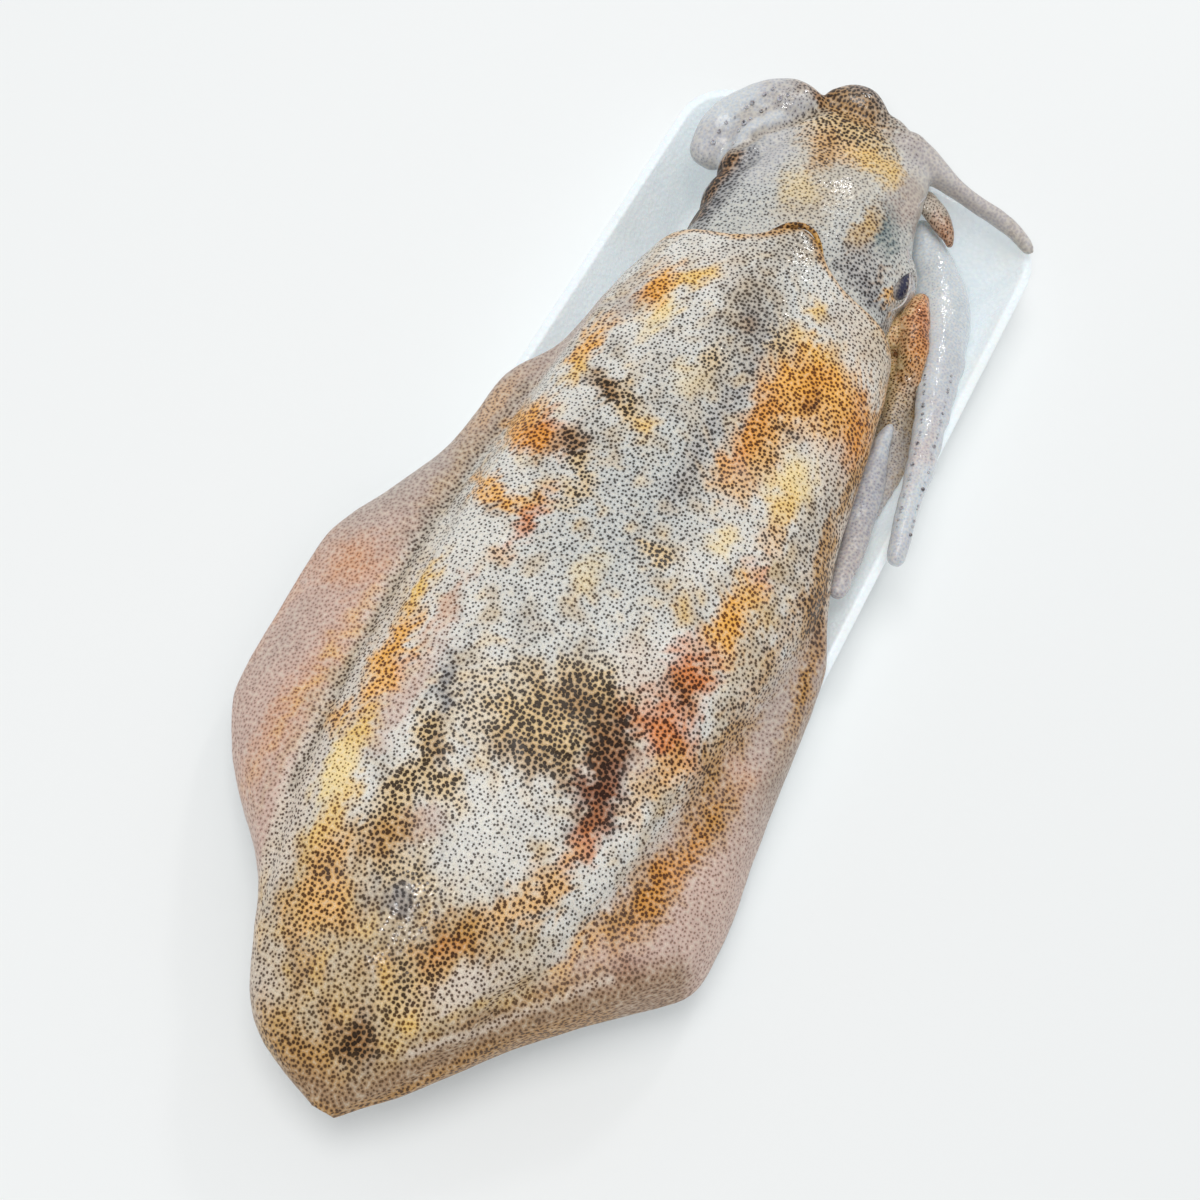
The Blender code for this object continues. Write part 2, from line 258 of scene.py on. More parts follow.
# %% [markdown]
# ## A map for the sacs
# The sacs need flat coordinates. Each face takes the two coordinates, in mm, that it faces most
# squarely. The sacs then have one size all over the piece, instead of being cut at random depths
# by a pattern that fills space.

# %% Flow map


def flow_map(piece):
    mesh = piece.data
    layer = mesh.uv_layers.new(name="flow")
    corners = np.empty(len(mesh.loops), int)
    mesh.loops.foreach_get("vertex_index", corners)
    counts = np.empty(len(mesh.polygons), int)
    mesh.polygons.foreach_get("loop_total", counts)
    normals = np.empty(len(mesh.polygons) * 3)
    mesh.polygons.foreach_get("normal", normals)
    facing = np.repeat(np.abs(normals.reshape(-1, 3) * (1, 1, 1.25)).argmax(1), counts)
    places = points_of(piece)[corners]
    first, second = np.array([1, 0, 0])[facing], np.array([2, 2, 1])[facing]
    row = np.arange(len(corners))
    flow = np.stack([places[row, first], places[row, second]], 1)
    layer.data.foreach_set("uv", flow.ravel())


# %% [markdown]
# ## Painting marks one by one
# A mark is a pigment, a place (x, y), a length, a width, a turn in degrees and a strength, all in
# mm and seen from above. Its edge is broken up with noise, as real patches follow the sacs and not
# a compass. A stroke follows a route, and water makes a place wet. The result is stored on the
# points: one colour for the skin between the dots, with the size of the dots as its alpha, and one
# colour for the dots, with the wetness as its alpha.

# %% Brushes


class Coat:
    """The paint on one piece: skin colour, dot colour, dot size and wetness at each point."""

    def __init__(self, piece, pigment):
        self.piece = piece
        self.places = points_of(piece)
        self.normals = normals_of(piece)
        wander = [noise_at(self.places, 5.0, seed) for seed in (1, 2)]
        ragged = [noise_at(self.places, 1.6, seed) for seed in (3, 4)]
        self.rough = np.stack(wander, 1) * 3.4 + np.stack(ragged, 1) * 2.2
        self.grit = np.random.default_rng(7).uniform(-0.22, 0.22, len(self.places))
        count = len(self.places)
        skin, dots, size = PIGMENTS[pigment]
        self.skin = np.tile(linear(*skin), (count, 1))
        self.dots = np.tile(linear(*dots), (count, 1))
        self.size = np.full(count, size)
        self.wet = np.zeros(count)

    def lay(self, pigment, amount):
        skin, dots, size = PIGMENTS[pigment]
        amount = unit(amount)
        self.skin += (np.array(linear(*skin)) - self.skin) * amount[:, None]
        self.dots += (np.array(linear(*dots)) - self.dots) * amount[:, None]
        self.size += (size - self.size) * amount

    def blotches(self, pigment, strength, size, seed, gain, cut=0.0):
        """Soft patches of noise, size mm across. A larger cut leaves fewer of them."""
        self.lay(pigment, strength * unit(noise_at(self.places, size, seed) * gain - cut))

    def marks(self, marks, edge=0.5):
        for pigment, x, y, length, width, turn, strength in marks:
            angle = math.radians(turn)
            offset = self.places[:, :2] + self.rough - (x, y)
            along = offset @ (math.cos(angle), math.sin(angle)) / length
            across = offset @ (-math.sin(angle), math.cos(angle)) / width
            reach = np.hypot(along, across) + self.grit
            self.lay(pigment, strength * unit((1 + edge - reach) / (2 * edge)))

    def stroke(self, pigment, route, width, strength, loose=0.3):
        places = self.places.copy()
        places[:, :2] += self.rough * loose
        away, _ = distance_to(places, route)
        self.lay(pigment, strength * unit(1.5 - away / width))

    def water(self, pools):
        """Wet places: x, y and reach in mm."""
        for x, y, reach in pools:
            away = np.hypot(*(self.places[:, :2] + self.rough * 0.6 - (x, y)).T)
            self.wet = np.maximum(self.wet, unit(1.5 - away / reach))

    def dry(self):
        """Writes the paint on the mesh, and the flow map that the pigment sacs follow."""
        flow_map(self.piece)
        for name, colour, alpha in (
            ("skin_colour", self.skin, self.size),
            ("dot_colour", self.dots, self.wet),
        ):
            layer = self.piece.data.color_attributes.new(name, "FLOAT_COLOR", "POINT")
            layer.data.foreach_set("color", np.column_stack([colour, alpha]).ravel())


# %% [markdown]
# ## The wet skin material
# One recipe serves every soft piece, because each piece carries its own paint. Voronoi cells on the
# flow map place the pigment sacs, a ring of deeper colour surrounds each one, fine noise keeps the
# skin from looking printed, and a thin glossy coat over subsurface light makes it look wet.

# %% The skin recipe


class Recipe:
    """A short way to add and wire shader nodes."""

    def __init__(self, name):
        self.material = bpy.data.materials.new(name)
        self.material.use_nodes = True
        self.tree = self.material.node_tree
        self.shader = self.tree.nodes["Principled BSDF"]
        self.place = self.add("ShaderNodeTexCoord").outputs["Object"]

    def add(self, kind, **settings):
        node = self.tree.nodes.new(kind)
        for setting, value in settings.items():
            setattr(node, setting, value)
        return node

    def wire(self, source, target):
        if isinstance(source, (int, float)):
            target.default_value = source
        elif isinstance(source, tuple):
            target.default_value = (*source, 1)[: len(target.default_value)]
        else:
            self.tree.links.new(source, target)

    def math(self, operation, *inputs, clamp=False):
        node = self.add("ShaderNodeMath", operation=operation, use_clamp=clamp)
        for source, target in zip(inputs, node.inputs):
            self.wire(source, target)
        return node.outputs[0]

    def plus(self, first, second, clamp=False):
        return self.math("ADD", first, second, clamp=clamp)

    def minus(self, first, second):
        return self.math("SUBTRACT", first, second)

    def times(self, first, second, clamp=False):
        return self.math("MULTIPLY", first, second, clamp=clamp)

    def mix(self, amount, first, second, blend="MIX"):
        node = self.add("ShaderNodeMix", data_type="RGBA", blend_type=blend)
        self.wire(amount, node.inputs[0])
        self.wire(first, node.inputs[6])
        self.wire(second, node.inputs[7])
        return node.outputs[2]

    def noise(self, size, detail=2.0, roughness=0.5):
        node = self.add("ShaderNodeTexNoise")
        node.inputs["Scale"].default_value = 1 / (size * MM)
        node.inputs["Detail"].default_value = detail
        node.inputs["Roughness"].default_value = roughness
        self.wire(self.place, node.inputs["Vector"])
        return node.outputs["Fac"]

    def cells(self, size):
        node = self.add("ShaderNodeTexVoronoi")
        node.inputs["Scale"].default_value = 1 / (size * MM)
        self.wire(self.place, node.inputs["Vector"])
        return node.outputs["Distance"]

    def sacs(self, size, order=0.8):
        """Cells on the flow map, which is in mm."""
        node = self.add("ShaderNodeTexVoronoi", voronoi_dimensions="2D")
        node.inputs["Scale"].default_value = 1 / size
        node.inputs["Randomness"].default_value = order
        self.wire(self.add("ShaderNodeUVMap", uv_map="flow").outputs["UV"], node.inputs["Vector"])
        return node.outputs["Distance"]

    def paint(self, name):
        node = self.add("ShaderNodeAttribute", attribute_name=name)
        return node.outputs["Color"], node.outputs["Alpha"]

    def bump(self, height, depth, socket="Normal"):
        node = self.add("ShaderNodeBump")
        node.inputs["Distance"].default_value = depth * MM
        self.wire(height, node.inputs["Height"])
        self.wire(node.outputs["Normal"], self.shader.inputs[socket])

    def set(self, **sockets):
        for name, source in sockets.items():
            self.wire(source, self.shader.inputs[name.replace("_", " ")])


def skin(name, spacing=1.18, gloss=0.4, glow=0.05, coat=0.12, fine=0.45, depth=0.26):
    """Wet speckled skin: spacing of the sacs in mm, gloss as roughness, glow as subsurface."""
    recipe = Recipe(name)
    plus, minus, times = recipe.plus, recipe.minus, recipe.times
    skin_colour, size = recipe.paint("skin_colour")
    dot_colour, wet = recipe.paint("dot_colour")
    size = times(size, plus(times(recipe.noise(2.6), 1.1), 0.42))
    wobble = times(minus(recipe.noise(0.5), 0.5), 0.25)
    sac = plus(recipe.sacs(spacing), wobble)
    speck = recipe.sacs(spacing * 0.47, 1.0)
    ring = times(minus(times(size, 1.35), sac), 3.2, clamp=True)
    dot = times(minus(times(size, 0.9), sac), 10.0, clamp=True)
    gap = times(minus(sac, plus(size, 0.16)), 3.0, clamp=True)
    fine_size = times(recipe.math("MINIMUM", size, 0.3), 0.9)
    small = times(minus(fine_size, speck), 5.0, clamp=True)
    colour = recipe.mix(times(ring, 0.38), skin_colour, dot_colour)
    colour = recipe.mix(times(gap, 0.32), colour, linear(236, 228, 208))
    colour = recipe.mix(times(small, fine), colour, dot_colour)
    colour = recipe.mix(times(dot, 0.95), colour, dot_colour)
    grain, cloud = recipe.noise(0.7, 3.0, 0.6), recipe.noise(9.0, 3.0, 0.55)
    shade = plus(plus(times(grain, 0.5), times(cloud, 0.24)), 0.64)
    colour = recipe.mix(1.0, colour, shade, "MULTIPLY")
    recipe.set(Base_Color=colour, Roughness=gloss, Specular_IOR_Level=0.14)
    recipe.set(Coat_Weight=plus(wet, coat, clamp=True), Coat_Roughness=0.06)
    recipe.set(Subsurface_Weight=glow, Subsurface_Radius=(1.0, 0.55, 0.4), Subsurface_Scale=2.0 * MM)
    height = plus(times(recipe.noise(1.1, 2.0), 0.8), recipe.noise(3.2, 2.0))
    recipe.bump(minus(height, times(dot, 0.5)), depth)
    recipe.bump(plus(recipe.noise(1.7, 2.0, 0.6), recipe.noise(5.0)), 0.22, "Coat Normal")
    return recipe.material


def finish_soft(piece, material, slot, *nodes):
    """Gives a soft piece its material, hangs it from the root body and hides the measured nodes it replaces.
    """
    piece.data.materials.clear()
    piece.data.materials.append(material)
    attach(piece, "root")
    if nodes:
        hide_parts(*nodes)
    report(piece)


# %% [markdown]
# ## The mantle
# The mantle is the squid's body, a soft cone with a fin along each side, open at the head end. The
# measured copy already has its outline and its height. Two levels of subdivision round it off, and
# folds add what the skin does: a groove where each fin starts, a crease in the pressed fin, and the
# slack wrinkles behind the free front edge.

# %% Round the mantle
mantle = copied("mantle", "mantle_skin")
rounded(mantle, 2)
MANTLE_FOLDS = [
    ([(-49, 8), (-53, -20), (-54, -60), (-51, -100), (-47, -130), (-40, -155)], 2.2, -1.7),
    ([(-46, 6), (-49, -20), (-49.5, -60), (-47, -100), (-43, -130), (-36, -155)], 3.0, 0.25),
    ([(40, -76), (37, -88), (34, -100), (31, -116)], 1.3, 0.6),
    ([(37, -76), (34, -88), (31, -100), (28, -116)], 2.0, -0.6),
    ([(46, -134), (36, -146), (24, -160), (10, -174)], 1.2, 0.7),
    ([(43, -130), (33, -142), (21, -156)], 2.0, -0.8),
    ([(-5, 62), (-4, 40), (0, 10), (1, -30), (-3, -70)], 5.0, -0.7),
    ([(8, 64), (10, 50), (9, 38)], 2.2, 0.5),
    ([(-16, 60), (-20, 48), (-18, 36)], 3.0, 0.4),
    ([(22, -78), (27, -92), (24, -108)], 2.0, -0.4),
    ([(-12, -138), (-6, -146), (-9, -156)], 2.0, 0.6),
    ([(-2, -138), (-4, -148), (-5, -158)], 1.8, -0.5),
]
for route, width, lift in MANTLE_FOLDS:
    fold(mantle, route, width, lift)
grab(mantle, (48, 42), 15, (2.6, 0.5, 0), (1, 0))
grab(mantle, (-84, -80), 42, (-2.0, 0, 0), (-1, 0))
grab(mantle, (72, -95), 40, (1.8, 0, 0), (1, 0))
ripple(mantle, 14.0, 0.45, 1)
ripple(mantle, 5.0, 0.16, 2)
report(mantle)

# %% [markdown]
# The mantle's markings are laid on from the back: first the broad ground colours (white back, grey
# middle, pinkish fins, tan tail), then the patches from the head end to the tail.

# %% Ground colours of the mantle
coat = Coat(mantle, "white")
x, y, _ = coat.places.T
jitter = coat.rough[:, 0] * 0.5
middle = np.exp(-(((x + jitter - 1 + 0.02 * y) / 9.0) ** 2)) * unit((70 + y) / 40)
coat.lay("ash", 0.6 * middle)
FIN_ROOT_Y = (20, 0, -30, -60, -100, -130, -150, -170, -195)
LEFT_ROOT_X = (-46, -50, -54, -55, -52, -48, -43, -34, -20)
RIGHT_ROOT_X = (60, 56, 51, 47, 41, 36, 28, 18, 6)
from_head = [-station for station in FIN_ROOT_Y]
left_fin = unit((np.interp(-y, from_head, LEFT_ROOT_X) - x) / 4 + 0.5)
right_fin = unit((x - np.interp(-y, from_head, RIGHT_ROOT_X)) / 6 + 0.5)
body = (1 - left_fin) * (1 - right_fin)
coat.lay("ash", 0.85 * unit(1.3 - np.hypot((x + jitter * 2 + 8) / 22, (y + 28) / 56)) * body)
stripe = np.exp(-(((x + jitter - 2) / 3.4) ** 2)) * unit((50 - y) / 20) * unit((32 + y) / 14)
coat.lay("grey", 0.85 * stripe)
coat.lay("pink", left_fin * 0.97)
coat.lay("mauve", left_fin * 0.85 * unit((y + 72) / 40))
coat.lay("pink", right_fin * 0.9)
coat.lay("mauve", right_fin * 0.8 * unit((y + 95) / 40))
tail = unit((-128 - y + jitter * 2) / 22) * (1 - left_fin)
coat.lay("ochre", 0.75 * tail)
coat.blotches("bark", 0.6 * tail, 7, 21, 2.4)
coat.blotches("gold", 0.5 * tail, 5, 22, 2.4)
coat.blotches("smoke", 0.32 * body, 9, 14, 2.2, 0.1)
coat.blotches("ochre", 0.5 * body, 6, 15, 2.4, 0.3)
coat.blotches("gold", 0.35 * body, 4, 18, 2.4, 0.5)
coat.blotches("grey", 0.4 * body, 3, 16, 2.4, 0.4)
pale_side = unit((-36 + (y + 60) * 0.02 - x) / 6) * unit((-40 - y) / 30)
coat.lay("bare", 0.6 * pale_side * body)
print("painted the ground of", len(x), "points")

# %% Patches of the front half
FRONT_MARKS = [
    # the shaded middle and the pale front corners
    ("smoke", -8, 44, 11, 7, 100, 0.75), ("smoke", -3, 32, 12, 4, 95, 0.45),
    ("white", -31, 53, 9, 6, 20, 0.8), ("bare", 26, 52, 12, 7, -25, 0.6),
    ("ochre", 30, 54, 10, 6, -25, 0.35), ("smoke", -6, 66, 10, 6, 90, 0.5),
    ("slate", -4, 38, 4, 6, 10, 0.45), ("bare", -20, 50, 6, 6, 0, 0.4),
    ("mauve", -38, 30, 12, 3, 92, 0.6), ("ochre", -38, 48, 10, 2, 80, 0.4),
    # left shoulder
    ("gold", -24, 43, 7, 2.8, 48, 0.85), ("amber", -31, 37, 8, 4.4, 100, 0.97),
    ("orange", -32, 34, 4, 3, 60, 0.7), ("yellow", -26.5, 28, 8, 3, 95, 0.8),
    ("amber", -40, 12, 10, 2.6, 93, 0.95), ("gold", -39.5, 2, 5, 2.6, 80, 0.7),
    ("umber", -33, 3, 2.4, 1.8, 0, 0.9), ("tawny", -35, 22, 3, 2, 0, 0.5),
    # olive bar and the rust blotch behind it
    ("olive", -22, -4, 10, 3.2, -35, 0.95), ("umber", -28, -1, 4, 2.6, -40, 0.85),
    ("gold", -15, -7, 3, 2.4, 0, 0.6), ("amber", -45, -16, 8, 5, 85, 0.92),
    ("orange", -38, -20, 7, 6, -20, 0.97), ("rust", -37, -16, 4, 3, 0, 0.5),
    ("umber", -28, -20, 4.5, 3, -20, 0.9), ("olive", -23, -25, 5, 2.6, -35, 0.85),
    ("olive", -20, -33, 4.5, 3, 60, 0.75),
    # small marks near the middle
    ("olive", -8, 21, 3, 3.4, 0, 0.8), ("yellow", -10, 12, 5, 4, 0, 0.35),
    ("umber", -5, 36, 2, 2.6, 0, 0.5), ("gold", 9, 51, 3.4, 2.4, 20, 0.75),
    # the great amber saddle on the right
    ("gold", 16, 39, 10, 3.4, -8, 0.8), ("amber", 24, 29, 13, 12, 0, 0.97),
    ("orange", 36, 25, 12, 5, 97, 0.95), ("amber", 14, 24, 12, 7, 90, 0.9),
    ("tawny", 14, 4, 15, 6.5, 92, 0.95), ("orange", 11, 10, 13, 3.4, 92, 0.75),
    ("olive", 6, 36, 4.4, 3, -20, 0.8), ("orange", 20, 30, 7, 3, 70, 0.5),
    ("tawny", 28, 24, 7, 4, 80, 0.4), ("wine", 21, 24, 3.4, 2.2, 90, 0.65),
    ("umber", 19.5, 12, 3.4, 2, 10, 0.55), ("rust", 11, -5, 5, 3, 80, 0.5),
    ("tawny", 12, -9, 5, 5, 0, 0.75), ("pink", 14, -6, 3, 3, 0, 0.35),
    ("bare", 34, 11, 9, 4.4, 92, 0.9), ("bare", 26, 13, 3.4, 2.4, 0, 0.8),
    ("yellow", 27, 1, 8, 5.5, 80, 0.9), ("gold", 28, -8, 6, 3.4, 90, 0.65),
    ("yellow", 19, -25, 4, 4, 0, 0.7), ("tawny", 30, -17, 7, 2.6, 88, 0.6),
    ("rust", 31, -29, 5, 2.6, 90, 0.6), ("gold", 32, -36, 6, 5, 90, 0.6),
    ("amber", 31, -44, 11, 4.6, 92, 0.97),
    # the brown right flank
    ("amber", 39.5, 44, 15, 1.8, 94, 0.7), ("bark", 42, 6, 27, 2.4, 92, 0.85),
    ("smoke", 38, -12, 22, 3, 92, 0.5), ("bark", 47, -19, 15, 3.8, 97, 0.9),
    ("umber", 48.5, -22, 9, 2, 97, 0.6), ("bark", 44, -44, 14, 3, 92, 0.6),
    ("ochre", 36, -26, 10, 2.4, 92, 0.5), ("smoke", 48, 12, 20, 2, 94, 0.6),
]
coat.marks(FRONT_MARKS)
print(len(FRONT_MARKS), "front marks")

# %% Patches of the back half
BACK_MARKS = [
    ("amber", -45, -38, 6, 2.4, -50, 0.92), ("amber", -37, -42.5, 6, 2.2, -5, 0.92),
    ("umber", -38, -45, 5, 0.9, -5, 0.5), ("rust", -28, -46, 10, 2, 85, 0.85),
    ("tawny", -29, -38, 4, 2.6, 80, 0.8), ("tawny", -31, -56.5, 4.5, 2, 20, 0.75),
    ("olive", 5, -37.5, 3.6, 3, 20, 0.9), ("gold", 18, -46, 3, 4, 0, 0.55),
    ("yellow", -7, -51, 4, 4, 0, 0.45), ("white", 16, -36, 5, 4, 0, 0.6),
    ("white", -40, -55, 10, 8, 0, 0.85), ("ochre", 38, -50, 12, 3, 92, 0.5),
    # the long golden band on the left
    ("gold", -44, -72, 9, 2.6, 88, 0.95), ("amber", -42, -88, 9, 3.4, 95, 0.95),
    ("amber", -38.5, -98, 10, 4.6, 95, 0.85), ("rust", -36, -94, 6, 1.8, 82, 0.35),
    ("amber", -45, -110, 3.4, 3, 0, 0.8), ("tawny", -44, -113, 4, 1.6, -40, 0.6),
    ("gold", -37, -113, 6, 4, 95, 0.9), ("yellow", -36.5, -124, 9, 4, 95, 0.95),
    ("salmon", -34, -76, 10, 2.4, 88, 0.6), ("pink", -31, -100, 15, 3.4, 90, 0.7),
    ("slate", -23, -94, 7, 2.2, -66, 0.85), ("slate", -26, -86, 4, 1.8, -60, 0.5),
    # the big dark blotch across the back
    ("olive", 2, -90, 17, 12, 15, 0.97), ("olive", 10, -76, 10, 5, -5, 0.9),
    ("umber", 12, -81, 12, 5.4, 10, 0.75), ("umber", 4, -99, 12, 5, 15, 0.45),
    ("wine", 21, -92, 10, 5, -70, 0.92), ("umber", 17, -88, 7, 3, 90, 0.6),
    ("bare", 20, -69, 7, 4.4, -20, 0.97), ("bare", 14, -64, 5, 3.4, 20, 0.75),
    ("rust", 27.5, -62, 9, 5, 100, 0.97), ("rust", 30, -77, 10, 5.6, -15, 0.95),
    ("umber", 28, -66, 4, 3, 0, 0.5), ("tawny", 35, -82, 5, 4, 90, 0.7),
    ("tawny", 31, -92, 8, 3, 90, 0.6), ("wine", 24, -104, 6, 4.4, 60, 0.85),
    ("wine", 20, -99, 5, 4, 0, 0.9), ("pink", 27, -87, 3, 3, 0, 0.4),
    ("bare", 16, -95.5, 2.2, 1.6, 0, 0.95),
    # streaks towards the tail
    ("white", 4, -119, 10, 7, 80, 0.65), ("rust", 25, -112, 7, 3.2, 95, 0.75),
    ("tawny", 22, -124, 9, 4, 72, 0.85), ("tawny", 15, -136, 7, 3.4, 50, 0.8),
    ("olive", -20, -106, 6, 3.4, -58, 0.95), ("olive", -12, -115, 6, 4, -30, 0.85),
    ("umber", -17, -108, 3, 2.4, 0, 0.6), ("olive", -20, -122, 11, 4, 85, 0.9),
    ("bark", -17, -131, 9, 4.6, 60, 0.85), ("pink", -10, -124, 4, 4, 0, 0.5),
    ("gold", -31, -136, 10, 3.4, 88, 0.75), ("tawny", -27, -142, 7, 4, 80, 0.8),
    ("umber", -25, -145, 3, 2.4, 20, 0.6), ("tawny", -24, -152, 9, 6, 60, 0.9),
    ("olive", -10, -137, 8, 4, 0, 0.6), ("slate", -7, -144, 7, 4, 10, 0.75),
    ("bark", 9, -147, 9, 5.4, 65, 0.95), ("rust", 8, -149, 5, 3, 60, 0.4),
    ("olive", 6, -160, 9, 5, 70, 0.85), ("tawny", 10, -157, 4, 4, 0, 0.6),
    ("umber", 0, -176, 5, 4.4, 30, 0.97), ("bark", -10, -185, 13, 5, -12, 0.85),
    ("gold", 10, -166, 4, 3, 0, 0.5), ("bare", -29, -172, 9, 6, 110, 0.6),
    ("bare", 17, -152, 11, 4, 48, 0.85), ("bare", -41, -140, 20, 3.6, 105, 0.85),
]
coat.marks(BACK_MARKS)
print(len(BACK_MARKS), "back marks")

# %% Marks on the fins, and the brown front margin
FIN_MARKS = [
    ("salmon", -67, -70, 8, 7, 20, 0.9), ("salmon", -58, -110, 26, 3.6, 88, 0.75),
    # the ochre line at x -51.5 is painted shade along the groove where the left fin starts
    ("gold", -57, -98, 26, 1.6, 88, 0.4), ("ochre", -51.5, -98, 38, 1.6, 89, 0.5),
    ("tawny", -58, -10, 12, 3, 80, 0.45), ("ochre", -56, -36, 20, 2.4, 86, 0.45),
    ("mauve", -72, -45, 16, 8, 65, 0.6), ("slate", -56, -52, 7, 1.6, 85, 0.4),
    ("salmon", -80, -84, 20, 1.6, 90, 0.5), ("mauve", -72, -96, 12, 5, 80, 0.35),
    ("bark", 43.5, -74, 14, 3.6, 86, 0.85), ("bark", 50, -87, 11, 4.8, 76, 0.95),
    ("bark", 45, -112, 14, 4.8, 82, 0.95), ("orange", 47, -104, 16, 2.4, 80, 0.6),
    ("bark", 39, -120, 8, 2.4, 80, 0.75), ("bark", 56.5, -45, 17, 2.6, 98, 0.95),
    ("umber", 52, -28, 6, 1.8, 100, 0.5), ("salmon", 53, -72, 6, 4, 0, 0.4),
    ("wine", 50, -129, 4, 2.6, 40, 0.6), ("amber", 36, -130, 7, 1.6, 75, 0.75),
    ("mauve", 62, -62, 14, 5, 88, 0.8), ("shade", 62, -62, 12, 4, 88, 0.3),
    ("bark", 45, -66, 5, 2.4, 80, 0.4),
]
coat.marks(FIN_MARKS, edge=0.7)
MARGIN = [
    (-41, 57), (-33, 60.5), (-22, 61.5), (-14, 65), (-9, 71), (-4.5, 75), (0, 72), (5, 66), (14, 62),
    (26, 60.5), (33, 58),
]
TAIL_RIM = [(61, -127), (49, -139), (37, -150), (26, -162), (16, -176), (5, -190), (-12, -193)]
STROKES = [
    # pigment, route, width, strength, looseness of the edge
    ("tawny", MARGIN, 0.9, 0.6, 0.3),
    ("bark", MARGIN[3:8], 1.6, 0.6, 0.3),
    ("bare", [(38, 58), (44, 48), (47.5, 36), (46, 18), (44, 0)], 1.4, 0.75, 0.3),
    # painted shade: a soft brown band and a darker bark line along the tail's lower edge, where its side
    # turns down into shade
    ("shade", TAIL_RIM, 6.0, 0.85, 0.3),
    ("bark", [(x + 1.5, y - 1.5) for x, y in TAIL_RIM[1:]], 2.0, 0.6, 0.3),
    # painted highlight along the ridge of the tail crease, and painted shade in the crease just beside it
    ("bare", [(46, -133), (36, -145), (24, -159), (12, -172)], 0.9, 0.6, 0.1),
    ("umber", [(44, -131.3), (34, -143.3), (22, -157.3)], 0.7, 0.5, 0.1),
    ("mauve", [(-26, -184), (-36, -172), (-46, -154), (-62, -138)], 2.6, 0.5, 0.3),
    # painted shade in the groove where the left fin starts
    ("smoke", [(-52, 0), (-53.5, -30), (-53, -60), (-50, -100), (-46, -130)], 1.6, 0.55, 0.3),
]
for pigment, route, width, strength, loose in STROKES:
    coat.stroke(pigment, route, width, strength, loose)
underside = unit(-coat.normals[:, 2] * 2 - 0.3)
coat.lay("pearl", 0.7 * underside)
print(len(FIN_MARKS), "fin marks and", len(STROKES), "strokes")

# %% Water on the mantle
coat.water([
    # the tail
    (-6, -144, 6), (-7, -153, 5), (-19, -161, 5), (-24, -146, 4),
    # the front tab and the hollow behind it
    (-1, 71, 4), (0, 61, 4), (1, 44, 4), (3, 34, 3),
    # here and there
    (-30, 56, 5), (-36, 46, 4), (22, -64, 3), (16, -95, 2.5), (-38, -112, 3), (40, 52, 4), (36, -30, 4),
])
coat.wet += 0.3 * unit(noise_at(coat.places, 5, 23) * 2 - 0.6)
coat.dry()
mantle_finish = skin("mantle skin")
finish_soft(mantle, mantle_finish, "skin", "mantle")

# %% [markdown]
# The front edge ends in a small rounded tab over the middle of the neck, and its rim is rolled and
# brown. The roll is a thin tube of skin that follows the edge.

# %% A tube of skin


def tube(name, route, radius):
    """A round tube of skin along a route in mm, thin at both ends."""
    curve = bpy.data.curves.new(name, "CURVE")
    curve.dimensions = "3D"
    curve.bevel_depth = radius * MM
    curve.bevel_resolution = 3
    curve.resolution_u = 8
    curve.use_fill_caps = True
    line = curve.splines.new("NURBS")
    line.points.add(len(route) - 1)
    for index, (point, place) in enumerate(zip(line.points, route)):
        point.co = (*[value * MM for value in place], 1)
        ends = min(index, len(route) - 1 - index)
        point.radius = (0.35, 0.75, 1.0)[min(ends, 2)]
    line.order_u = 4
    line.use_endpoint_u = True
    piece = bpy.data.objects.new(name, curve)
    bpy.context.scene.collection.objects.link(piece)
    only(piece)
    bpy.ops.object.convert(target="MESH")
    return bpy.context.object


# %% The rolled rim
ROLL_ROUTE = [
    (-14.5, 66.0, 47.2), (-12.4, 69.2, 48.6), (-9.6, 72.8, 49.6), (-5.6, 74.9, 50.0), (-1.8, 74.6, 50.0),
    (1.2, 72.2, 49.4), (3.8, 68.8, 48.4), (7.0, 65.4, 46.8), (12.0, 62.8, 44.6),
]
roll = tube("mantle_rim", [(x, y - 0.5, z - 0.35) for x, y, z in ROLL_ROUTE], 0.85)
rounded(roll, 1)
ripple(roll, 4.0, 0.2, 13)
coat = Coat(roll, "bark")
coat.marks([("umber", -9, 72, 5, 3, 45, 0.4), ("gold", 2, 71, 3, 3, 0, 0.4), ("bare", 9, 64, 7, 3, -30, 0.8)])
coat.dry()
finish_soft(roll, mantle_finish, "skin")

# %% [markdown]
# ## The head
# The head sits in the mantle's mouth. The measured copy has round sockets for the eyes, so skin is
# laid over them: a thin dome over each eye and a soft crown in front, all fused by a voxel remesh.
# A lens cut with a Boolean then opens the right eye, as the lids of a dead squid fall half open.

# %% Fuse the head and its domes


def dome(name, centre, radii, turn=0.0):
    """An egg of skin: a sphere primitive stretched and turned in edit mode."""
    deselect()
    bpy.ops.mesh.primitive_uv_sphere_add(segments=32, ring_count=16, radius=MM, location=(0, 0, 0))
    egg = bpy.context.object
    egg.name = name
    edit(egg)
    bpy.ops.transform.resize(value=radii, center_override=(0, 0, 0))
    bpy.ops.transform.rotate(value=math.radians(turn), orient_axis="Z", center_override=(0, 0, 0))
    bpy.ops.transform.translate(value=[c * MM for c in centre])
    done()
    return egg


